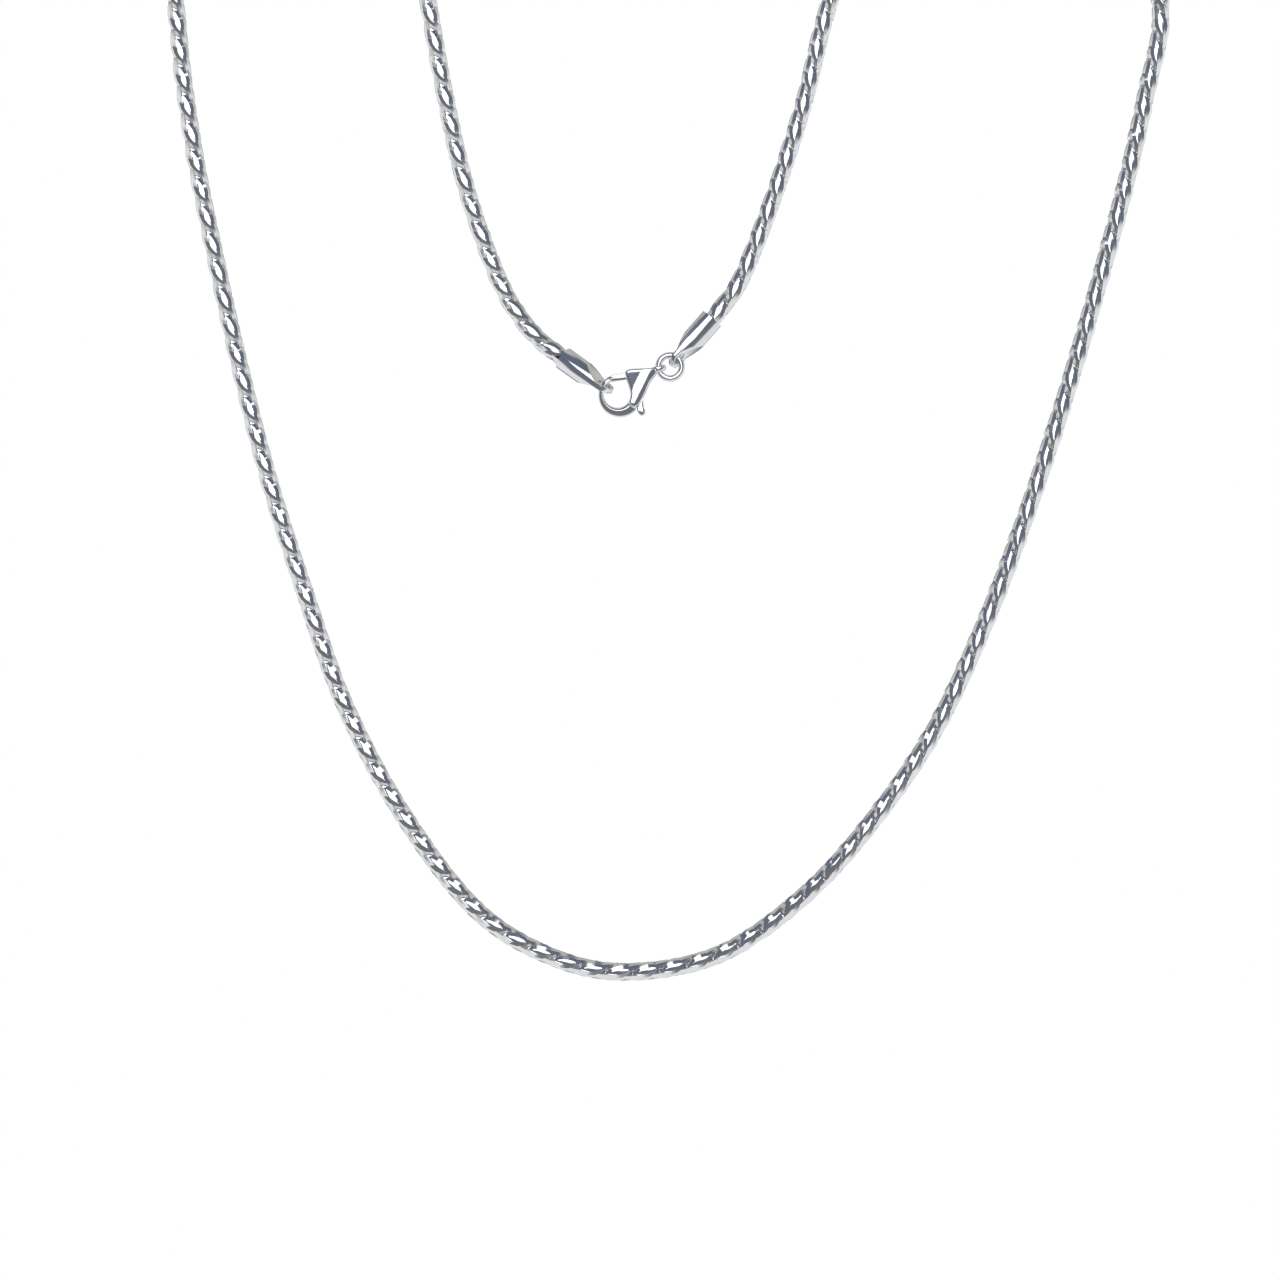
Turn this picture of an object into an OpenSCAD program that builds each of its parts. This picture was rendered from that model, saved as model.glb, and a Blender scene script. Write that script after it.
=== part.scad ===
// Snake bone necklace chain, hanging, with its lobster clasp closed.
// Millimetres. +Z is up, -Y is the front. z = 0 is the line on which the two top bends rest.

/* [Chain] */
// Thickness of the chain across its leaves
chain_d = 2.6; // [2.2:0.1:2.8]

/* [End tubes] */
// Outer diameter of an end tube
tube_d = 3.2; // [3.1:0.05:3.6]
// Length from the mouth of an end tube to the centre of its eye
tube_len = 7.2; // [6.8:0.1:9]
// Depth of the bore that holds the chain
tube_bore_depth = 2.6; // [2.4:0.1:3]
// Thickness of the flattened end
tab_t = 0.7; // [0.6:0.05:0.8]
// Diameter of the eye in the flattened end
tab_eye_d = 1.9; // [1.8:0.05:2]

/* [Jump ring] */
// Diameter of the jump ring to the middle of its wire
ring_d = 3.2; // [3:0.05:3.4]
// Thickness of the jump ring's wire
ring_wire_d = 0.86; // [0.7:0.02:0.9]

/* [Clasp] */
// Diameter of the round opening inside the hook
hook_hole_d = 3.74; // [3.6:0.02:3.8]
// Thickness of the hook, front to back
hook_t = 1; // [0.9:0.05:1.1]
// Greatest thickness of the body, front to back
body_t = 2.6; // [2.4:0.1:3]
// Thickness of the lever plate
lever_t = 0.9; // [0.7:0.05:0.95]
// Diameter of the pivot pin
pivot_d = 0.7; // [0.6:0.02:0.72]

/* [Hidden] */
$fn = 48;

chain_r = chain_d / 2;
tube_r = tube_d / 2;

// The clasp lies in the plane y = 0, its long axis turned up from +X.
clasp_at = [-4.2, 0, -74.3];
clasp_turn = 44;
function clasp_point(u, v) = clasp_at + [
    cos(clasp_turn) * u - sin(clasp_turn) * v, 0, sin(clasp_turn) * u + cos(clasp_turn) * v];
function heading(turn, tilt) = [cos(tilt) * cos(turn), sin(tilt), cos(tilt) * sin(turn)];

// The left tube's eye hangs on the hook, a little way back from its tip.
hold_angle = 107;
hold_r = 2.22;
left_eye = clasp_point(hold_r * cos(hold_angle), hold_r * sin(hold_angle));
left_turn = 144;
left_tilt = 20;

// The jump ring passes through the clasp's own eye and the right tube's eye.
clasp_eye = [6.5, -1.45];
ring_turn = 10;
ring_at = clasp_point(clasp_eye[0], clasp_eye[1]) + ring_d / 2 * heading(ring_turn, 0);
right_turn = 49;
right_tilt = 0;
right_eye = ring_at + ring_d / 2 * heading(right_turn, 0);
eye_roll = -20;

// How far along an end tube's axis, from its eye, the chain ends and comes free of the mouth.
chain_end = tube_len - tube_bore_depth + 0.1;
chain_lead = tube_len + 1.5;

// Route of the chain's centre line, chosen by hand from the left tube round to the right tube.
left_route = [
    [-16.5, 3.5, -65], [-20.5, 4, -58.5], [-25, 4, -46], [-28, 3.5, -33], [-30.5, 3, -19],
    [-31.5, 2.5, -12], [-37.5, 2, -2.5], [-48.5, 1.5, chain_r], [-59, 1, -2.5], [-65, 0.5, -12],
    [-64.5, 0, -25], [-62.5, -0.5, -40], [-59.5, -1, -55], [-56, -1.5, -70.5], [-52, -2, -86],
    [-47, -2.5, -101.5], [-41.5, -2.5, -117], [-33.5, -3, -132], [-23.5, -3, -145],
    [-13, -3, -151.5]];
lowest = [-2.5, -3, -153.5];
right_route = [
    [10, -3, -151], [21.5, -3, -143], [31, -3, -132.5], [39.5, -2.5, -120], [46.5, -2.5, -105],
    [52, -2, -90.5], [57, -1.5, -75.5], [61.5, -1, -60.5], [65.5, -0.5, -46], [68.5, 0, -33],
    [70.5, 0, -22], [68, 0.5, -10.5], [59.5, 0.5, -2], [48.5, 1, chain_r], [36.5, 1, -2],
    [28.5, 1, -10.5], [24.5, 1, -22], [21.5, 1, -34], [17.5, 0.5, -46.5], [13, 0, -58]];

left_axis = heading(left_turn, left_tilt);
right_axis = heading(right_turn, right_tilt);
route = concat(
    [left_eye, left_eye + chain_end * left_axis, left_eye + chain_lead * left_axis],
    left_route, [lowest], right_route,
    [right_eye + chain_lead * right_axis, right_eye + chain_end * right_axis, right_eye]);
lowest_index = len(left_route) + 3;

// A smooth curve through the route, with a ring every 2 to 3 chain diameters.
ring_gap = 7.2;
function blend(a, b, c, d, t) = 0.5 * (2 * b + (c - a) * t + (2 * a - 5 * b + 4 * c - d) * t ^ 2
    + (3 * b - a - 3 * c + d) * t ^ 3);
function steps(a, b) = max(1, round(norm(b - a) / ring_gap));
function leg(i) = let (n = steps(route[i], route[i + 1]))
    [for (k = [0 : n - 1]) blend(route[i - 1], route[i], route[i + 1], route[i + 2], k / n)];
function stretch(first, last) = [for (i = [first : last - 1]) each leg(i)];
left_line = stretch(1, lowest_index);
right_line = stretch(lowest_index, len(route) - 2);
line = concat(left_line, right_line, [route[len(route) - 2]]);

// Eight-sided tube along rings first to last of the line.
tube_sides = 8;
function unit(v) = v / norm(v);
function along(i) = unit(line[min(i + 1, len(line) - 1)] - line[max(i - 1, 0)]);
function ring(i) = let (t = along(i), s = unit(cross([0, 1, 0], t)), q = cross(t, s))
    [for (k = [0 : tube_sides - 1])
        line[i] + chain_r * (cos(360 * k / tube_sides) * s + sin(360 * k / tube_sides) * q)];
module tube_along(first, last) {
    rings = last - first;
    points = [for (i = [first : last]) each ring(i)];
    sides = [for (i = [0 : rings - 1], k = [0 : tube_sides - 1])
        let (j = (k + 1) % tube_sides, a = i * tube_sides, b = a + tube_sides)
            [a + k, a + j, b + j, b + k]];
    start_cap = [[for (k = [tube_sides - 1 : -1 : 0]) k]];
    end_cap = [[for (k = [0 : tube_sides - 1]) rings * tube_sides + k]];
    polyhedron(points = points, faces = concat(sides, start_cap, end_cap), convexity = 6);
}

// One end tube: its eye at the origin, its mouth up +Z, the eye's axis along X.
tube_bore_r = chain_r + 0.08;
tab_tip = 1.4;
tab_flat_end = 0.8;
taper_end = tube_len - 3.5;
module side_profile() {
    wide = tube_r + 1;
    slope = (tube_r - tab_t / 2) / (taper_end - tab_flat_end);
    wide_at = tab_flat_end + (wide - tab_t / 2) / slope;
    half = [[tab_t / 2, -tab_tip - 1], [tab_t / 2, tab_flat_end], [wide, wide_at], [wide, tube_len + 1]];
    polygon(concat(half, [for (i = [3 : -1 : 0]) [-half[i][0], half[i][1]]]));
}
module plan_profile() {
    translate([0, tube_r - tab_tip])
        circle(r = tube_r);
    translate([-tube_r - 1, tube_r - tab_tip])
        square([2 * tube_r + 2, tube_len]);
}
module end_tube() {
    difference() {
        intersection() {
            translate([0, 0, -tab_tip - 1])
                cylinder(r = tube_r, h = tube_len + tab_tip + 1);
            rotate([90, 0, 0])
                linear_extrude(height = 2 * tube_d, center = true)
                    side_profile();
            rotate([90, 0, 90])
                linear_extrude(height = 2 * tube_d, center = true)
                    plan_profile();
        }
        translate([0, 0, tube_len - tube_bore_depth])
            cylinder(r = tube_bore_r, h = tube_bore_depth + 1);
        rotate([0, 90, 0])
            cylinder(d = tab_eye_d, h = tube_d, center = true);
    }
}
module on_eye(eye, turn, tilt) {
    translate(eye)
        rotate([0, 90 - turn, 0])
            rotate([-tilt, 0, 0])
                rotate([0, 0, eye_roll])
                    children();
}

// The clasp is drawn flat: the centre of the hook's opening at the origin, its own eye on +X.
hook_hole_r = hook_hole_d / 2;
hook_outer_r = 3;
hook_outer_at = [0.2, -0.4];
hook_round_r = 0.85;
hook_round_at = 2.5;
pivot_at = [3.05, 0.6];
pivot_play = 0.05;
slot_t = lever_t + 0.2;
crown_r = 11.4;
crown_at = [2.6, -0.8];
clasp_eye_turn = -30;
module in_clasp() {
    translate(clasp_at)
        rotate([90, 0, 0])
            rotate([0, 0, clasp_turn])
                children();
}

// Where the gate closes the ring, with the slanted end of the hook on its left.
module gate_gap_outline() {
    polygon([[1.75, 3.15], [0.1, 1.5], [1, 0], [1.9, -0.5], [2.05, 0], [2.35, 0.75], [2.8, 1.42],
        [2.9, 3.2]]);
}
module hook_outline() {
    difference() {
        translate(hook_outer_at)
            circle(r = hook_outer_r);
        circle(r = hook_hole_r);
        gate_gap_outline();
        translate([1.9, -1.2])
            square([2, 3]);
    }
}
module teardrop_outline() {
    difference() {
        polygon([[0, -3.38], [1.5, -3.1], [2.9, -2.6], [4.4, -1.95], [5.75, -1.8], [5.75, -0.75],
            [5.3, -0.25], [4.6, 0.42], [3.7, 1.22], [3.2, 1.5], [2.8, 1.42], [2.35, 0.75],
            [2.05, 0], [1.5, -0.8], [0, -1.2]]);
        circle(r = hook_hole_r);
    }
}
// Room in the middle of the body for every place that the lever moves through.
module slot_outline() {
    polygon([[2.6, 0.35], [0.66, -3.05], [0.2, -3.45], [0, -4.3], [4.2, -4.3], [4, 0.35]]);
    polygon([[3.2, 1.35], [2.75, 1.8], [1.5, 1.6], [1.6, -0.1], [2.2, -0.35], [2.8, -0.1]]);
    translate(pivot_at)
        circle(r = 0.72);
}
module hook() {
    intersection() {
        linear_extrude(height = hook_t, center = true)
            hook_outline();
        rotate_extrude()
            translate([hook_round_at, 0])
                circle(r = hook_round_r);
    }
}
module crown() {
    intersection_for (side = [-1, 1])
        translate([crown_at[0], crown_at[1], side * (crown_r - body_t / 2)])
            sphere(r = crown_r, $fn = 96);
}
module body_shell() {
    difference() {
        intersection() {
            linear_extrude(height = body_t, center = true)
                teardrop_outline();
            crown();
        }
        linear_extrude(height = slot_t, center = true)
            slot_outline();
    }
}
module clasp_own_eye() {
    translate(clasp_eye)
        rotate([0, 0, clasp_eye_turn])
            rotate([90, 0, 0])
                cylinder(r = 1.05, h = 0.85, center = true);
}
module clasp_own_eye_hole() {
    translate(clasp_eye)
        rotate([0, 0, clasp_eye_turn])
            rotate([90, 0, 0])
                cylinder(r = 0.6, h = 3, center = true);
}

module chain_left() {
    color("silver")
        tube_along(0, len(left_line));
}
module chain_right() {
    color("silver")
        tube_along(len(left_line), len(line) - 1);
}
module end_tube_left() {
    color("lightsteelblue")
        on_eye(left_eye, left_turn, left_tilt)
            end_tube();
}
module end_tube_right() {
    color("lightsteelblue")
        on_eye(right_eye, right_turn, right_tilt)
            end_tube();
}
module jump_ring() {
    color("gainsboro")
        translate(ring_at)
            rotate([90, 0, 0])
                rotate_extrude()
                    translate([ring_d / 2, 0])
                        circle(d = ring_wire_d, $fn = 24);
}
module clasp_body() {
    color("silver")
        in_clasp() {
            difference() {
                union() {
                    difference() {
                        hook();
                        linear_extrude(height = slot_t, center = true)
                            slot_outline();
                    }
                    body_shell();
                    clasp_own_eye();
                }
                clasp_own_eye_hole();
            }
            translate(pivot_at)
                cylinder(d = pivot_d, h = slot_t + 0.6, center = true);
        }
}
module clasp_lever() {
    color("whitesmoke")
        in_clasp()
            linear_extrude(height = lever_t, center = true)
                difference() {
                    union() {
                        polygon([[1.2, 2.43], [0.57, 1.8], [2.3, 0.55], [3.05, 0.05], [3.3, 1.1],
                            [2.75, 1.4]]);
                        translate(pivot_at)
                            circle(r = 0.58);
                        polygon([[2.75, 0.35], [0.8, -3.05], [2.05, -3.05], [3.55, 0.35]]);
                        polygon([[0.85, -2.95], [0.4, -3.4], [0.22, -4.1], [1.22, -4.1],
                            [2.1, -2.95]]);
                        translate([0.72, -4.1])
                            circle(r = 0.5);
                    }
                    translate(pivot_at)
                        circle(d = pivot_d + 2 * pivot_play);
                }
}

chain_left();
chain_right();
end_tube_left();
end_tube_right();
jump_ring();
clasp_body();
clasp_lever();
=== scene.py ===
import random
from math import cos, radians, sin

import bmesh
import bpy
from mathutils import Matrix, Vector


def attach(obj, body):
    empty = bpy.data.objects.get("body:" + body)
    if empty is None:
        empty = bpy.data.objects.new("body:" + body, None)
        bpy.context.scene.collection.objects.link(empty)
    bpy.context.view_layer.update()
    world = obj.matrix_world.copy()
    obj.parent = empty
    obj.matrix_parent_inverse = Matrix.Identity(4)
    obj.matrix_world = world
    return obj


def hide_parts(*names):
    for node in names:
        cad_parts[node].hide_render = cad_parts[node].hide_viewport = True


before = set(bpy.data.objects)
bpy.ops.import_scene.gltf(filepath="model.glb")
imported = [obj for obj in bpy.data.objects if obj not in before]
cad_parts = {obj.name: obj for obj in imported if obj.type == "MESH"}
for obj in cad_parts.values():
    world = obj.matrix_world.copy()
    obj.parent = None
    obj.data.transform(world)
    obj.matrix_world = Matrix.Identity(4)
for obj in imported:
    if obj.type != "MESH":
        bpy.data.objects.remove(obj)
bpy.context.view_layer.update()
mm = 0.001

# The studio: a long lens level with the middle of the picture, a soft box and a wide overhead
# panel above the lens, and a pale floor far below. The silver mirrors a dark blue-grey room behind
# the camera, pale paper behind and below the necklace, four pale cards and a shaded far end.
picture_width = 176 * mm
picture_centre = Vector((-1.075, 0, -108.1)) * mm
lens = 135
film = 36
nearest_seen = 0.01
lamp_distance = 0.9
lamp_white = (0.975, 0.99, 1)
camera_data = bpy.data.cameras.new("camera")
camera_data.lens = lens
camera_data.sensor_width = film
camera_data.clip_start = nearest_seen
camera = bpy.data.objects.new("camera", camera_data)
bpy.context.scene.collection.objects.link(camera)
camera.location = picture_centre + Vector((0, -picture_width * lens / film, 0))
camera.rotation_euler = (radians(90), 0, 0)
bpy.context.scene.camera = camera
bpy.context.scene.view_settings.view_transform = "Standard"


def soft_box(name, turn, rise, wide, high, watts):
    """An area light, seen from the necklace turn to the right of the lens and rise above it."""
    way = Vector((sin(turn) * cos(rise), -cos(turn) * cos(rise), sin(rise)))
    light = bpy.data.lights.new(name, "AREA")
    light.shape = "RECTANGLE"
    light.size = wide
    light.size_y = high
    light.energy = watts
    light.color = lamp_white
    lamp = bpy.data.objects.new(name, light)
    bpy.context.scene.collection.objects.link(lamp)
    lamp.location = picture_centre + way * lamp_distance
    lamp.rotation_euler = way.to_track_quat("Z", "Y").to_euler()
    lamp.visible_camera = False


soft_box("key_soft_box", turn=radians(-4), rise=radians(15), wide=0.57, high=0.52, watts=1.5)
soft_box("overhead_panel", turn=radians(-2), rise=radians(36.5), wide=1.25, high=0.44, watts=2.3)


def facing(tree, way, aim):
    """The cosine of the angle between a direction's socket and the direction aim."""
    product = tree.nodes.new("ShaderNodeVectorMath")
    product.operation = "DOT_PRODUCT"
    product.inputs[1].default_value = aim
    tree.links.new(way, product.inputs[0])
    return product.outputs["Value"]


def fade(tree, value, start, full):
    """How far a value has come from start to full, with a soft beginning and end."""
    span = tree.nodes.new("ShaderNodeMapRange")
    span.interpolation_type = "SMOOTHSTEP"
    span.inputs["From Min"].default_value = start
    span.inputs["From Max"].default_value = full
    tree.links.new(value, span.inputs["Value"])
    return span.outputs["Result"]


def ramp(tree, value, stops):
    """A colour that runs from the first stop's to the second's as a value passes both stops."""
    blend = tree.nodes.new("ShaderNodeValToRGB")
    for stop, (at, colour) in zip(blend.color_ramp.elements, stops):
        stop.position = at
        stop.color = colour
    tree.links.new(value, blend.inputs["Fac"])
    return blend.outputs["Color"]


def mixed(tree, share, first, second):
    """The colour first, given over to second by share. Either is a colour or a colour's socket."""
    mix = tree.nodes.new("ShaderNodeMix")
    mix.data_type = "RGBA"
    tree.links.new(share, mix.inputs["Factor"])
    for side, colour in (("A", first), ("B", second)):
        if isinstance(colour, tuple):
            mix.inputs[side].default_value = colour
        else:
            tree.links.new(colour, mix.inputs[side])
    return mix.outputs["Result"]


# The room's and the paper's colours from straight down, 0, to straight up, 1, and the directions
# of the paper and the cards with the cosines at their edges.
room_colours = [(0.25, (0.17, 0.172, 0.18, 1)), (0.75, (0.12, 0.14, 0.20, 1))]
paper_colours = [(0.52, (0.785, 0.805, 0.83, 1)), (0.76, (0.50, 0.485, 0.45, 1))]
paper_way = (0.2, 0.88, -0.43)
paper_start, paper_full = -0.28, 0.11
card_edges = [((0.93, 0.25, 0.27), 0.86), ((-0.97, 0.24, 0.0), 0.86),
              ((0.10, 0.0, -0.995), 0.86), ((-0.22, 0.30, 0.93), 0.89)]
card_soft_edge = 0.07
far_shade = (0.20, 0.20, 0.23, 1)
far_start, far_full = 0.72, 0.95
picture_white = (1, 1, 1, 1)
surround = bpy.data.worlds.new("surround")
surround.use_nodes = True
bpy.context.scene.world = surround
studio = surround.node_tree
way = studio.nodes.new("ShaderNodeTexCoord").outputs["Generated"]
split = studio.nodes.new("ShaderNodeSeparateXYZ")
studio.links.new(way, split.inputs[0])
height = studio.nodes.new("ShaderNodeMapRange")
height.inputs["From Min"].default_value = -1
studio.links.new(split.outputs["Z"], height.inputs["Value"])
room = ramp(studio, height.outputs["Result"], room_colours)
paper = ramp(studio, height.outputs["Result"], paper_colours)
pale = fade(studio, facing(studio, way, paper_way), paper_start, paper_full)
for card_way, card_edge in card_edges:
    card = fade(studio, facing(studio, way, card_way), card_edge, card_edge + card_soft_edge)
    either = studio.nodes.new("ShaderNodeMath")
    either.operation = "MAXIMUM"
    studio.links.new(pale, either.inputs[0])
    studio.links.new(card, either.inputs[1])
    pale = either.outputs["Value"]
far_end = fade(studio, split.outputs["Y"], far_start, far_full)
mirrored = mixed(studio, far_end, mixed(studio, pale, room, paper), far_shade)
ray = studio.nodes.new("ShaderNodeLightPath")
seen = mixed(studio, ray.outputs["Is Camera Ray"], mirrored, picture_white)
studio.links.new(seen, studio.nodes["Background"].inputs["Color"])

floor_radius = 1.6
floor_at = (0, 0.2, -0.5)
floor_grey = (0.9, 0.9, 0.9, 1)
floor_rough = 0.8
bpy.ops.object.select_all(action="DESELECT")
bpy.ops.mesh.primitive_circle_add(vertices=96, radius=floor_radius, fill_type="NGON",
                                  location=floor_at)
floor = bpy.context.object
floor.name = "floor"
floor.visible_glossy = False
floor_paint = bpy.data.materials.new("floor_paint")
floor_paint.use_nodes = True
paint_shader = floor_paint.node_tree.nodes["Principled BSDF"]
paint_shader.inputs["Base Color"].default_value = floor_grey
paint_shader.inputs["Roughness"].default_value = floor_rough
floor.data.materials.append(floor_paint)

# The chain: polished silver links, each a closed ring of two domed leaves on opposite sides of
# the chain, joined by two bars through its middle, and each holding the next at a right angle.
# A leaf lies slantwise and a little turned, its lower lip over the tucked upper end of the next.
leaf_out = 1.23 * mm
leaf_sides = 14
leaf_taper = [(0.75, 0.95, 0.62), (0.60, 0.80, 0.90)]
dome_half_wide = 0.88 * mm
dome_half_long = 2.0 * mm
dome_high = 0.28 * mm
shoulder_wide_share = 0.42
shoulder_long_share = 0.74
shoulder_high = 0.24 * mm
ridge_share = 0.58
rim_wide = 0.34 * mm
rim_end_wide = 0.34 * mm
rim_high = 0.34 * mm
rim_wrap = [(1.6 * mm, 0.02 * mm), (0.8 * mm, 0.04 * mm)]
dome_foot = leaf_out - dome_high
rim_middle = dome_foot - rim_high / 2
lip_start = -1.2 * mm
lip = (-0.10 * mm, 0, -0.30 * mm)
tucked = [(0.3 * mm, 0.96, 0.02 * mm), (1.1 * mm, 0.92, 0.06 * mm), (1.6 * mm, 0.92, 0.08 * mm)]
leaf_tilt = radians(3)
leaf_turn = radians(-8)
slant = radians(-26)
bar_at = 1.33 * mm
bar_size = (1.5 * mm, 0.4 * mm, 0.3 * mm)
hollow_within = leaf_out - 0.6 * mm
hair = 0.01 * mm


def pick(piece, kind, wanted):
    """Selects the corners (verts) or edges of a piece in edit mode for which wanted is true."""
    bpy.ops.mesh.select_mode(type={"edges": "EDGE", "verts": "VERT"}[kind])
    bpy.ops.mesh.select_all(action="DESELECT")
    mesh = bmesh.from_edit_mesh(piece.data)
    for part in getattr(mesh, kind):
        if wanted(part):
            part.select_set(True)
    bmesh.update_edit_mesh(piece.data)


# One leaf, from a flat disc with narrow ends: its rim, its shoulder and its ridge, one on another.
bpy.ops.mesh.primitive_circle_add(vertices=leaf_sides, radius=1, fill_type="NGON",
                                  rotation=(radians(90), 0, radians(90)))
link = bpy.context.object
link.name = "chain_link"
bpy.ops.object.transform_apply()
bpy.ops.object.mode_set(mode="EDIT")
for low, high, narrow in leaf_taper:
    pick(link, "verts", lambda v: low < abs(v.co.z) < high)
    bpy.ops.transform.resize(value=(1, narrow, 1), center_override=(0, 0, 0))
bpy.ops.mesh.select_mode(type="FACE")
bpy.ops.mesh.select_all(action="SELECT")
bpy.ops.transform.resize(value=(1, dome_half_wide + rim_wide, dome_half_long + rim_end_wide))
bpy.ops.transform.translate(value=(dome_foot - rim_high, 0, 0))
bpy.ops.mesh.extrude_region_move(TRANSFORM_OT_translate={"value": (rim_high, 0, 0)})
bpy.ops.transform.resize(value=(1, dome_half_wide / (dome_half_wide + rim_wide),
                                dome_half_long / (dome_half_long + rim_end_wide)),
                         center_override=(0, 0, 0))
bpy.ops.mesh.extrude_region_move(TRANSFORM_OT_translate={"value": (shoulder_high, 0, 0)})
bpy.ops.transform.resize(value=(1, shoulder_wide_share, shoulder_long_share),
                         center_override=(0, 0, 0))
bpy.ops.mesh.extrude_region_move(
    TRANSFORM_OT_translate={"value": (dome_high - shoulder_high, 0, 0)})
bpy.ops.transform.resize(value=(1, 0, ridge_share / shoulder_long_share),
                         center_override=(0, 0, 0))
bpy.ops.mesh.delete(type="ONLY_FACE")
bpy.ops.mesh.select_all(action="SELECT")
bpy.ops.mesh.remove_doubles(threshold=hair)
for level in (dome_foot, dome_foot + shoulder_high):
    pick(link, "edges", lambda e: all(abs(v.co.x - level) < hair for v in e.verts))
    bpy.ops.mesh.mark_sharp()
for within, drop in rim_wrap:
    pick(link, "verts", lambda v: abs(v.co.z) < within and v.co.x < rim_middle)
    bpy.ops.transform.translate(value=(-drop, 0, 0))
pick(link, "verts", lambda v: v.co.z < lip_start and v.co.x < rim_middle)
bpy.ops.transform.translate(value=lip)
for above, narrow, drop in tucked:
    pick(link, "verts", lambda v: v.co.z > above)
    bpy.ops.transform.resize(value=(1, narrow, 1), center_override=(0, 0, 0))
    bpy.ops.transform.translate(value=(-drop, 0, 0))
bpy.ops.mesh.select_all(action="SELECT")
bpy.ops.transform.rotate(value=leaf_tilt, orient_axis="Y",
                         center_override=(leaf_out, 0, -ridge_share * dome_half_long))
bpy.ops.transform.rotate(value=leaf_turn, orient_axis="X", center_override=(0, 0, 0))

# The opposite leaf and the two bars, and a slight twist that lays both leaves slantwise.
bpy.ops.mesh.duplicate()
bpy.ops.transform.rotate(value=radians(180), orient_axis="Z", center_override=(0, 0, 0))
bpy.ops.mesh.select_all(action="SELECT")
bpy.ops.mesh.normals_make_consistent(inside=False)
for side in (-1, 1):
    bpy.ops.mesh.primitive_cube_add(size=1, location=(0, 0, side * bar_at))
    bpy.ops.transform.resize(value=bar_size, center_override=(0, 0, side * bar_at))
bpy.ops.object.mode_set(mode="OBJECT")
# The rim mark is 1 at each leaf's rim edge and underside, where the painted sheen and extra
# roughness go.
rim_marks = link.data.attributes.new("rim", "FLOAT", "POINT")
for corner, mark in zip(link.data.vertices, rim_marks.data):
    mark.value = 1.0 if abs(corner.co.x) < hollow_within else 0.0
lay = link.modifiers.new("lay", "SIMPLE_DEFORM")
lay.deform_method = "TWIST"
lay.deform_axis = "Z"
lay.angle = slant
bpy.ops.object.modifier_apply(modifier="lay")
bpy.ops.object.shade_smooth_by_angle(angle=radians(50), keep_sharp_edges=True)

# The way the chain hangs, from the left end tube over the left bend, down to its lowest point
# and over the right bend to the right end tube. The closed clasp holds both its ends: the hook
# holds the left tube's eye, and the jump ring in the clasp's own eye holds the right tube's.
clasp_at = Vector((-4.2, 0, -74.3)) * mm
clasp_turn = radians(44)
clasp_frame = (Matrix.Translation(clasp_at) @ Matrix.Rotation(radians(90), 4, "X")
               @ Matrix.Rotation(clasp_turn, 4, "Z"))
clasp_eye_at = Vector((6.5, -1.45, 0)) * mm
hold_turn = radians(107)
hold_out = 2.22
hold_at = Vector((cos(hold_turn), sin(hold_turn), 0)) * hold_out * mm


def heading(turn, tilt=0.0):
    """The direction turned up from +X by turn and back by tilt."""
    return Vector((cos(tilt) * cos(turn), sin(tilt), cos(tilt) * sin(turn)))


left_turn, left_tilt = radians(144), radians(20)
right_turn, right_tilt = radians(49), 0.0
ring_radius = 1.6 * mm
ring_turn = radians(10)
left_eye = clasp_frame @ hold_at
ring_at = clasp_frame @ clasp_eye_at + ring_radius * heading(ring_turn)
right_eye = ring_at + ring_radius * heading(right_turn)
tube_length = 7.2 * mm
chain_end = 4.7 * mm
chain_free = tube_length + 1.5 * mm
left_points = [
    (-16.5, 3.5, -65), (-20.5, 4, -58.5), (-25, 4, -46), (-28, 3.5, -33), (-30.5, 3, -19),
    (-31.5, 2.5, -12), (-37.5, 2, -2.5), (-48.5, 1.5, 1.3), (-59, 1, -2.5), (-64.85, 0.5, -12),
    (-64.5, 0, -25), (-62.5, -0.5, -40), (-59.5, -1, -55), (-56, -1.5, -70.5), (-52, -2, -86),
    (-47, -2.5, -101.5), (-41.5, -2.5, -117), (-33.5, -3, -132), (-23.5, -3, -145),
    (-13, -3, -151.5)]
lowest_point = (-2.5, -3, -153.5)
right_points = [
    (10, -3, -151), (21.5, -3, -143), (31, -3, -132.5), (39.5, -2.5, -120), (46.5, -2.5, -105),
    (52, -2, -90.5), (57, -1.5, -75.5), (61.5, -1, -60.5), (65.5, -0.5, -46), (68.5, 0, -33),
    (70.5, 0, -22), (68, 0.5, -10.5), (59.5, 0.5, -2), (48.5, 1, 1.3), (36.5, 1, -2),
    (28.5, 1, -10.5), (24.5, 1, -22), (21.5, 1, -34), (17.5, 0.5, -46.5), (13, 0, -58)]
left_axis = heading(left_turn, left_tilt)
right_axis = heading(right_turn, right_tilt)
route = (
    [left_eye, left_eye + chain_end * left_axis, left_eye + chain_free * left_axis]
    + [Vector(p) * mm for p in left_points + [lowest_point] + right_points]
    + [right_eye + chain_free * right_axis, right_eye + chain_end * right_axis, right_eye])


def between(a, b, c, d, t):
    """A point at t from 0 to 1 on the smooth curve from b to c that comes from a and goes to d."""
    return 0.5 * (2 * b + (c - a) * t + (2 * a - 5 * b + 4 * c - d) * t ** 2
                  + (3 * b - a - 3 * c + d) * t ** 3)


fine_steps = 40
line = [between(*route[i - 1:i + 3], k / fine_steps)
        for i in range(1, len(route) - 2) for k in range(fine_steps)] + [route[-2]]

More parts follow.
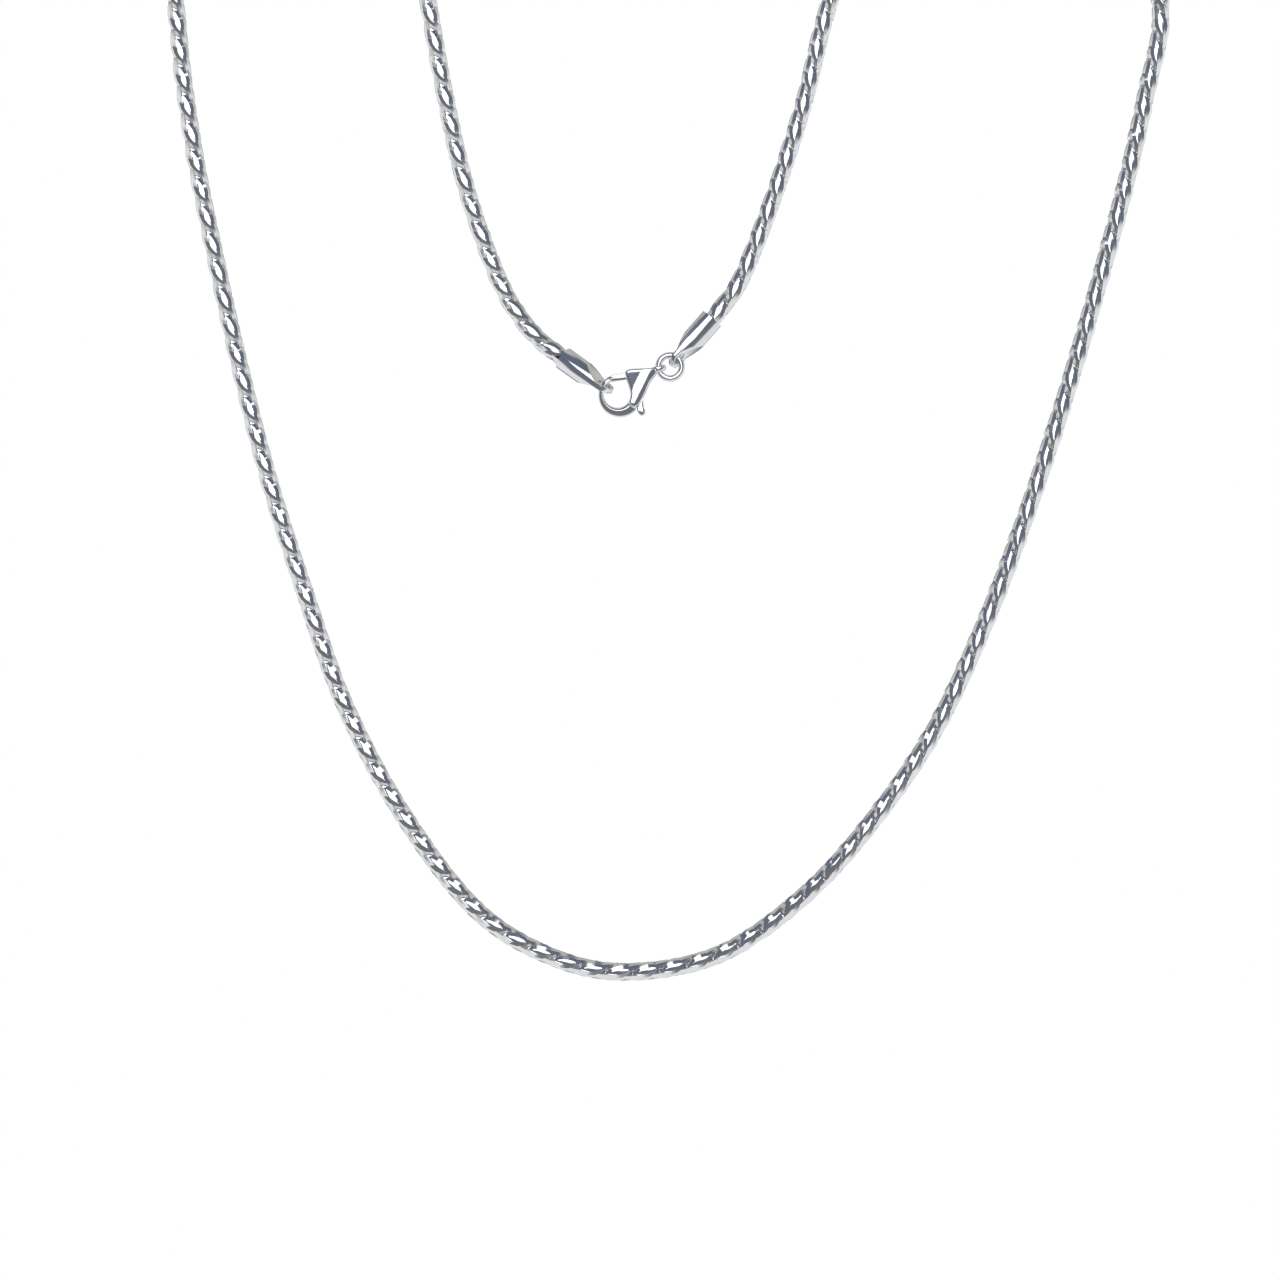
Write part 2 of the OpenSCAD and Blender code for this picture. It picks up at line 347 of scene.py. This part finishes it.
# Links hang a little further apart where more chain pulls on them, and each lies a little loose.
# The same end of a link is up on every strand. From the lowest point to the turnover, on the lower
# right, the links still lie as on the left strand.
pitch_low, pitch_high = 1.86 * mm, 1.97 * mm
first_link = 0.9 * mm
loose = 2
reach = 6
turnover_at = 26 * mm
chance = random.Random(7)
line_low = min(p.z for p in line)
lowest_index = min(range(len(line)), key=lambda i: line[i].z)
turnover = next(i for i in range(lowest_index, len(line)) if line[i].x > turnover_at)
laid = {"chain_left_links": [], "chain_right_links": []}
walked = 0.0
next_at = first_link
count = 0
for i in range(1, len(line)):
    step = line[i] - line[i - 1]
    walked += step.length
    if walked < next_at:
        continue
    at = line[i] - step.normalized() * (walked - next_at)
    along = (line[min(i + reach, len(line) - 1)] - line[max(i - 1 - reach, 0)]).normalized()
    front = (Vector((0, -1, 0)) + along * along.y).normalized()
    side = along.cross(front)
    pull = (at.z - line_low) / -line_low
    turn = radians(90) * (count % 2) + radians(chance.uniform(-loose, loose))
    out = cos(turn) * front + sin(turn) * side
    upward = along if along.z > 0 and not lowest_index <= i < turnover else -along
    place = Matrix((out, upward.cross(out), upward)).transposed().to_4x4()
    place.translation = at
    copy = link.copy()
    copy.data = link.data.copy()
    copy.data.transform(place)
    bpy.context.scene.collection.objects.link(copy)
    laid["chain_left_links" if i < lowest_index else "chain_right_links"].append(copy)
    next_at += pitch_low + (pitch_high - pitch_low) * pull
    count += 1
bpy.data.objects.remove(link)

# Polished silver as every piece here has it: hairline scratches from wear and faint clouding. Its
# hollows are duller, and their warmer colour is a painted sheen for light bounced between links.
silver_colours = [(0.35, (0.86, 0.86, 0.85, 1)), (0.65, (0.95, 0.95, 0.96, 1))]
# The warmer colour in the hollows is a painted sheen for light bounced between links, not tarnish.
painted_sheen_colour = (0.92, 0.91, 0.89, 1)
scratch_lay = (0.4, 0.7, 0.3)
scratch_stretch = (1, 14, 5)
scratch_rough = 0.06
hollow_rough = 0.14
scratch_deep = 0.01 * mm


def noise(tree, place, scale, detail):
    """Soft noise over the sockets of a place and a scale."""
    texture = tree.nodes.new("ShaderNodeTexNoise")
    texture.inputs["Detail"].default_value = detail
    tree.links.new(place, texture.inputs["Vector"])
    tree.links.new(scale, texture.inputs["Scale"])
    return texture.outputs["Fac"]


def added(tree, value, share, base):
    """The socket base with a share of value added to it."""
    total = tree.nodes.new("ShaderNodeMath")
    total.operation = "MULTIPLY_ADD"
    total.inputs[1].default_value = share
    tree.links.new(value, total.inputs[0])
    tree.links.new(base, total.inputs[2])
    return total.outputs["Value"]


# The group gives real wear, clouding and scratches, and the painted sheen in the hollows.
wear_and_sheen = bpy.data.node_groups.new("silver_wear_and_sheen", "ShaderNodeTree")
for name in ("Cloud Scale", "Scratch Scale", "Hollow", "Polish"):
    wear_and_sheen.interface.new_socket(name, in_out="INPUT", socket_type="NodeSocketFloat")
wear_and_sheen.interface.new_socket("Color", in_out="OUTPUT", socket_type="NodeSocketColor")
for name in ("Roughness", "Height"):
    wear_and_sheen.interface.new_socket(name, in_out="OUTPUT", socket_type="NodeSocketFloat")
given = wear_and_sheen.nodes.new("NodeGroupInput")
result = wear_and_sheen.nodes.new("NodeGroupOutput")
spot = wear_and_sheen.nodes.new("ShaderNodeTexCoord")
stretch = wear_and_sheen.nodes.new("ShaderNodeMapping")
stretch.inputs["Rotation"].default_value = scratch_lay
stretch.inputs["Scale"].default_value = scratch_stretch
wear_and_sheen.links.new(spot.outputs["Object"], stretch.inputs["Vector"])
cloud = noise(wear_and_sheen, spot.outputs["Object"], given.outputs["Cloud Scale"], detail=3)
scratch = noise(wear_and_sheen, stretch.outputs["Vector"], given.outputs["Scratch Scale"], detail=2)
clean = ramp(wear_and_sheen, cloud, silver_colours)
# Painted sheen: the hollows' colour is mixed towards a warmer tint in place of light between
# links.
tint = mixed(wear_and_sheen, given.outputs["Hollow"], clean, painted_sheen_colour)
rubbed = added(wear_and_sheen, scratch, scratch_rough, given.outputs["Polish"])
rough = added(wear_and_sheen, given.outputs["Hollow"], hollow_rough, rubbed)
wear_and_sheen.links.new(tint, result.inputs["Color"])
wear_and_sheen.links.new(rough, result.inputs["Roughness"])
wear_and_sheen.links.new(scratch, result.inputs["Height"])


def silver(name, cloud_scale, scratch_scale, polish, relief, hollow=None):
    """A material of polished silver. hollow names an attribute, 1 in the hollows given a painted
    sheen.
    """
    material = bpy.data.materials.new(name)
    material.use_nodes = True
    nodes, links = material.node_tree.nodes, material.node_tree.links
    shader = nodes["Principled BSDF"]
    shader.inputs["Metallic"].default_value = 1
    wear_and_sheen_node = nodes.new("ShaderNodeGroup")
    wear_and_sheen_node.node_tree = wear_and_sheen
    wear_and_sheen_node.inputs["Cloud Scale"].default_value = cloud_scale
    wear_and_sheen_node.inputs["Scratch Scale"].default_value = scratch_scale
    wear_and_sheen_node.inputs["Polish"].default_value = polish
    if hollow:
        marks = nodes.new("ShaderNodeAttribute")
        marks.attribute_name = hollow
        links.new(marks.outputs["Fac"], wear_and_sheen_node.inputs["Hollow"])
    bump = nodes.new("ShaderNodeBump")
    bump.inputs["Strength"].default_value = relief
    bump.inputs["Distance"].default_value = scratch_deep
    links.new(wear_and_sheen_node.outputs["Height"], bump.inputs["Height"])
    links.new(wear_and_sheen_node.outputs["Color"], shader.inputs["Base Color"])
    links.new(wear_and_sheen_node.outputs["Roughness"], shader.inputs["Roughness"])
    links.new(bump.outputs["Normal"], shader.inputs["Normal"])
    return material


# The two halves of the chain, each of its links joined. They meet at the chain's lowest point.
# The chain's rim mark decides where its links get the painted sheen and the extra roughness.
chain_metal = silver("chain_polish", cloud_scale=500, scratch_scale=900, polish=0.05, relief=0.1,
                     hollow="rim")
for name, copies in laid.items():
    bpy.ops.object.select_all(action="DESELECT")
    for copy in copies:
        copy.select_set(True)
    bpy.context.view_layer.objects.active = copies[0]
    bpy.ops.object.join()
    half = bpy.context.object
    half.name = name
    half.data.materials.append(chain_metal)
    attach(half, "necklace")
    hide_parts(name.replace("_links", ""))

# The end tubes: short lengths of drawn silver tube soldered over the chain's ends. The other end
# of each is squeezed flat between two slanting jaws, rounded off and pierced for the ring.
tube_radius = 1.6 * mm
tube_bore = 1.38 * mm
tube_bore_deep = 2.6 * mm
tube_edge = 0.07 * mm
tab_thick = 0.7 * mm
tab_tip = 1.4 * mm
tab_flat_end = 0.8 * mm
tab_eye_radius = 0.95 * mm
jaw_start = 3.7 * mm
jaw_out = 2.6 * mm
jaw_low = -3 * mm
jaw_thick = jaw_out - tab_thick / 2
jaw_slope = (tube_radius - tab_thick / 2) / (jaw_start - tab_flat_end)
tool_across = 6 * mm
tool_clear = 1.01
punch_long = 4 * mm
eye_roll = radians(-20)
tube_metal = silver("tube_polish", cloud_scale=350, scratch_scale=500, polish=0.06, relief=0.15)


def combine(piece, tool, how):
    """Joins a tool to a piece, cuts it out or keeps what both share, and clears the tool away."""
    change = piece.modifiers.new("change", "BOOLEAN")
    change.operation = how
    change.object = tool
    change.solver = "EXACT"
    bpy.context.view_layer.objects.active = piece
    bpy.ops.object.modifier_apply(modifier="change")
    bpy.data.objects.remove(tool)


def ease_edges(piece, width, segments):
    """Rounds the sharp edges of a piece."""
    ease = piece.modifiers.new("ease", "BEVEL")
    ease.width = width
    ease.segments = segments
    ease.limit_method = "ANGLE"
    ease.angle_limit = radians(35)
    bpy.context.view_layer.objects.active = piece
    bpy.ops.object.modifier_apply(modifier="ease")


def select_only(piece):
    """Selects one piece alone and makes it the one that the next steps act on."""
    bpy.ops.object.select_all(action="DESELECT")
    piece.select_set(True)
    bpy.context.view_layer.objects.active = piece


def finish_piece(piece, name, place, metal, body, node, smooth):
    """Smooths a finished piece, lays it where its node is and gives it its metal and its body."""
    select_only(piece)
    bpy.ops.object.shade_smooth_by_angle(angle=smooth)
    piece.name = name
    piece.data.transform(place)
    piece.data.materials.clear()
    piece.data.materials.append(metal)
    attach(piece, body)
    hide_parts(node)


def end_tube(eye, turn_up, tilt_back, name, node):
    """One end tube, made with its eye at the origin and its mouth up."""
    long = tube_length + tab_tip
    bpy.ops.mesh.primitive_cylinder_add(vertices=64, radius=tube_radius, depth=long,
                                        location=(0, 0, tube_length - long / 2))
    tube = bpy.context.object
    bpy.ops.object.transform_apply()
    for side in (-1, 1):
        bpy.ops.mesh.primitive_cube_add(size=1)
        jaw = bpy.context.object
        bpy.ops.object.mode_set(mode="EDIT")
        bpy.ops.transform.resize(value=(jaw_thick, tool_across, tab_flat_end - jaw_low))
        bpy.ops.transform.translate(value=(
            side * (jaw_out + tab_thick / 2) / 2, 0, (tab_flat_end + jaw_low) / 2))
        pick(jaw, "verts", lambda v: v.co.z > 0 and v.co.x * side > tab_thick)
        bpy.ops.transform.translate(value=(0, 0, jaw_thick / jaw_slope))
        bpy.ops.object.mode_set(mode="OBJECT")
        combine(tube, jaw, "DIFFERENCE")
    bpy.ops.mesh.primitive_cylinder_add(vertices=64, radius=tube_radius, depth=tool_across,
                                        rotation=(0, radians(90), 0))
    end_round = bpy.context.object
    bpy.ops.object.transform_apply()
    bpy.ops.object.mode_set(mode="EDIT")
    bpy.ops.mesh.select_all(action="SELECT")
    bpy.ops.transform.resize(value=(1, tool_clear, 1))
    bpy.ops.transform.translate(value=(0, 0, tube_radius - tab_tip))
    pick(end_round, "verts", lambda v: v.co.z > tube_radius - tab_tip + hair)
    bpy.ops.transform.translate(value=(0, 0, tube_length))
    bpy.ops.object.mode_set(mode="OBJECT")
    combine(tube, end_round, "INTERSECT")
    bpy.ops.mesh.primitive_cylinder_add(vertices=48, radius=tube_bore, depth=2 * tube_bore_deep,
                                        location=(0, 0, tube_length))
    combine(tube, bpy.context.object, "DIFFERENCE")
    bpy.ops.mesh.primitive_cylinder_add(vertices=32, radius=tab_eye_radius, depth=punch_long,
                                        rotation=(0, radians(90), 0))
    combine(tube, bpy.context.object, "DIFFERENCE")
    ease_edges(tube, tube_edge, segments=2)
    place = (Matrix.Translation(eye) @ Matrix.Rotation(radians(90) - turn_up, 4, "Y")
             @ Matrix.Rotation(-tilt_back, 4, "X") @ Matrix.Rotation(eye_roll, 4, "Z"))
    finish_piece(tube, name, place, tube_metal, body="necklace", node=node,
                 smooth=radians(30))


end_tube(left_eye, left_turn, left_tilt, "end_tube_left_drawn", node="end_tube_left")
end_tube(right_eye, right_turn, right_tilt, "end_tube_right_drawn", node="end_tube_right")

# The jump ring: round silver wire bent to a ring, its two cut ends closed against each other. It
# joins the right end tube to the clasp's eye.
ring_wire = 0.43 * mm
ring_steps = 56
joint_turn = radians(200)
joint_gap = radians(1.2)
ring_metal = silver("ring_polish", cloud_scale=500, scratch_scale=700, polish=0.05, relief=0.1)
ring_place = (Matrix.Translation(ring_at) @ Matrix.Rotation(radians(90), 4, "X")
              @ Matrix.Rotation(joint_turn, 4, "Z"))
bpy.ops.mesh.primitive_circle_add(vertices=16, radius=ring_wire, fill_type="NGON",
                                  location=(ring_radius, 0, 0), rotation=(radians(90), 0, 0))
jump_ring = bpy.context.object
bpy.ops.object.transform_apply()
bpy.ops.object.mode_set(mode="EDIT")
bpy.ops.mesh.select_all(action="SELECT")
bpy.ops.mesh.spin(steps=ring_steps, angle=radians(360) - joint_gap, center=(0, 0, 0),
                  axis=(0, 0, 1))
bpy.ops.mesh.select_all(action="SELECT")
bpy.ops.mesh.normals_make_consistent(inside=False)
bpy.ops.object.mode_set(mode="OBJECT")
finish_piece(jump_ring, "jump_ring_wire", ring_place, ring_metal, body="necklace",
             node="jump_ring", smooth=radians(50))

# The lobster clasp's body: one silver casting of a tapered hook, a domed teardrop body that is
# slotted for the lever, and a small eye turned across it. It is tumbled smooth and polished.
clasp_metal = silver("clasp_polish", cloud_scale=300, scratch_scale=450, polish=0.07, relief=0.2)
hook_hole = 1.87 * mm
hook_outer = 3.0 * mm
hook_outer_at = Vector((0.2, -0.4)) * mm
hook_tip = radians(68)
hook_root = radians(345)
hook_steps = 40
hook_step = (hook_root - hook_tip) / hook_steps
hook_deep = 1.0 * mm
hook_tip_share = 0.8
# How deep the hook is, as a share, in bands from its hole (-0.5) to its outside (0.5).
hook_fall = [(-0.3, -0.1, 1.08), (-0.1, 0.1, 0.86), (0.1, 0.3, 0.78), (0.3, 0.4, 0.85)]


def hook_wall(at):
    """How thick the hook is, from its hole outwards, at the angle at."""
    return hook_outer + hook_outer_at.x * cos(at) + hook_outer_at.y * sin(at) - hook_hole


# The hook's cross-section is carried round its hole in small steps, and grows with its wall.
# With no window the rotate operator turns clockwise, so a turn the other way has a minus.
bpy.ops.mesh.primitive_circle_add(vertices=16, radius=0.5, fill_type="NGON",
                                  rotation=(radians(90), 0, 0))
casting = bpy.context.object
bpy.ops.object.transform_apply()
bpy.ops.object.mode_set(mode="EDIT")
for inner, outer, share in hook_fall:
    pick(casting, "verts", lambda v: inner < v.co.x < outer)
    bpy.ops.transform.resize(value=(1, 1, share), center_override=(0, 0, 0))
wall = hook_wall(hook_tip)
bpy.ops.mesh.select_mode(type="FACE")
bpy.ops.mesh.select_all(action="SELECT")
bpy.ops.transform.resize(value=(wall, 1, hook_deep * hook_tip_share))
bpy.ops.transform.translate(value=(hook_hole + wall / 2, 0, 0))
bpy.ops.transform.rotate(value=-hook_tip, orient_axis="Z", center_override=(0, 0, 0))
for step in range(hook_steps):
    at = hook_tip + hook_step * step
    next_wall = hook_wall(at + hook_step)
    bpy.ops.mesh.extrude_region_move()
    bpy.ops.transform.rotate(value=at, orient_axis="Z", center_override=(0, 0, 0))
    bpy.ops.transform.resize(value=(next_wall / wall, 1, 1 if step else 1 / hook_tip_share),
                             center_override=(hook_hole, 0, 0))
    bpy.ops.transform.rotate(value=-at - hook_step, orient_axis="Z", center_override=(0, 0, 0))
    wall = next_wall
bpy.ops.mesh.select_all(action="SELECT")
bpy.ops.mesh.normals_make_consistent(inside=False)
bpy.ops.object.mode_set(mode="OBJECT")

body_outline = [
    (0.3, -3.0), (0.9, -3.2), (1.5, -3.1), (2.9, -2.6), (4.4, -1.95), (5.75, -1.8), (6.1, -1.5),
    (5.9, -0.75), (5.3, -0.25), (4.6, 0.42), (3.7, 1.22), (3.2, 1.5), (2.8, 1.42), (2.35, 0.75),
    (2.05, 0), (1.8, -0.55), (1.3, -1.35), (0.7, -1.75), (0.2, -2.1)]
body_thick = 2.6 * mm
crown_sides = 12
crown_radius = 5.6 * mm
crown_long = 14 * mm
crown_rise = 0.13 * mm
crown_at = Vector((3.33, -1.13, 0)) * mm
crown_turn = radians(20)


def plate(outline, thick):
    """A flat plate in the clasp's own plane, with the outline given in millimetres."""
    mesh = bpy.data.meshes.new("plate")
    corners = [(u * mm, v * mm, -thick / 2) for u, v in outline]
    mesh.from_pydata(corners, [], [range(len(corners))])
    piece = bpy.data.objects.new("plate", mesh)
    bpy.context.scene.collection.objects.link(piece)
    select_only(piece)
    bpy.ops.object.mode_set(mode="EDIT")
    bpy.ops.mesh.select_all(action="SELECT")
    bpy.ops.mesh.extrude_region_move(TRANSFORM_OT_translate={"value": (0, 0, thick)})
    bpy.ops.mesh.select_all(action="SELECT")
    bpy.ops.mesh.normals_make_consistent(inside=False)
    bpy.ops.object.mode_set(mode="OBJECT")
    return piece


def soften(piece, grain, rounds):
    """Makes one even skin of a piece, whatever it is joined from, and rubs it round."""
    skin = piece.modifiers.new("skin", "REMESH")
    skin.mode = "VOXEL"
    skin.voxel_size = grain
    rub = piece.modifiers.new("rub", "SMOOTH")
    rub.factor = 0.5
    rub.iterations = rounds
    bpy.context.view_layer.objects.active = piece
    bpy.ops.object.modifier_apply(modifier="skin")
    bpy.ops.object.modifier_apply(modifier="rub")


body = plate(body_outline, body_thick)
for side in (-1, 1):
    crown_drop = side * (crown_radius - crown_rise - body_thick / 2)
    bpy.ops.mesh.primitive_cylinder_add(
        vertices=crown_sides, radius=crown_radius, depth=crown_long,
        rotation=(radians(90), 0, crown_turn - radians(90)),
        location=crown_at - Vector((0, 0, crown_drop)))
    combine(body, bpy.context.object, "INTERSECT")
soften(body, grain=0.09 * mm, rounds=45)
combine(casting, body, "UNION")

clasp_eye_radius = 0.82 * mm
clasp_eye_wire = 0.235 * mm
clasp_eye_wide = 1.7
clasp_eye_turn = radians(-30)
bpy.ops.mesh.primitive_torus_add(major_radius=clasp_eye_radius, minor_radius=clasp_eye_wire,
                                 major_segments=40, minor_segments=14)
clasp_eye = bpy.context.object
bpy.ops.object.mode_set(mode="EDIT")
bpy.ops.mesh.select_all(action="SELECT")
bpy.ops.transform.resize(value=(1, 1, clasp_eye_wide))
bpy.ops.object.mode_set(mode="OBJECT")
clasp_eye.data.transform(
    Matrix.Translation(clasp_eye_at) @ Matrix.Rotation(clasp_eye_turn, 4, "Z")
    @ Matrix.Rotation(radians(90), 4, "X"))
combine(casting, clasp_eye, "UNION")
soften(casting, grain=0.06 * mm, rounds=10)

slot_thick = 0.95 * mm
slot_outlines = [
    [(2.6, 0.35), (0.66, -3.05), (0.2, -3.45), (0, -4.3), (4.2, -4.3), (4, 0.35)],
    [(3.2, 1.35), (2.75, 1.8), (1.5, 1.6), (1.6, -0.1), (2.2, -0.35), (2.8, -0.1)]]
pivot_at = Vector((3.05, 0.6, 0)) * mm
pivot_room = 0.72 * mm
pin_radius = 0.35 * mm
pin_long = 1.7 * mm


def pivot_disc(radius, thick):
    """A round disc or pin about the lever's pivot."""
    bpy.ops.mesh.primitive_cylinder_add(vertices=32, radius=radius, depth=thick, location=pivot_at)
    return bpy.context.object


for outline in slot_outlines:
    combine(casting, plate(outline, slot_thick), "DIFFERENCE")
combine(casting, pivot_disc(pivot_room, slot_thick), "DIFFERENCE")
combine(casting, pivot_disc(pin_radius, pin_long), "UNION")
finish_piece(casting, "clasp_casting", clasp_frame, clasp_metal, body="necklace",
             node="clasp_body", smooth=radians(40))

# The clasp's lever: a silver plate that turns on a pin in the body's slot. Its upper end is the
# bar that closes the hook, its lower end a rounded tab for the thumb.
lever_thick = 0.8 * mm
gate_outline = [(1.2, 2.43), (0.9, 2.36), (0.65, 1.78), (2.3, 0.55), (3.05, 0.05), (3.3, 1.1),
                (2.75, 1.4)]
gate_edge = 0.12 * mm
arm_outline = [(2.75, 0.35), (0.8, -3.05), (2.05, -3.05), (3.55, 0.35)]
thumb_outline = [
    (0.85, -2.85), (0.62, -3.2), (0.36, -3.6), (0.22, -4.1), (0.28, -4.35), (0.46, -4.54),
    (0.72, -4.6), (0.98, -4.54), (1.18, -4.32), (1.3, -3.95), (1.62, -3.5), (2.1, -2.95)]
thumb_edge = 0.2 * mm
boss_radius = 0.58 * mm
pin_hole = 0.4 * mm
drill_long = 3 * mm
lever = plate(gate_outline, lever_thick)
ease_edges(lever, gate_edge, segments=3)
combine(lever, plate(arm_outline, lever_thick), "UNION")
thumb_tab = plate(thumb_outline, lever_thick)
ease_edges(thumb_tab, thumb_edge, segments=3)
combine(lever, thumb_tab, "UNION")
combine(lever, pivot_disc(boss_radius, lever_thick), "UNION")
combine(lever, pivot_disc(pin_hole, drill_long), "DIFFERENCE")
finish_piece(lever, "clasp_lever_polished", clasp_frame, clasp_metal, body="lever",
             node="clasp_lever", smooth=radians(40))
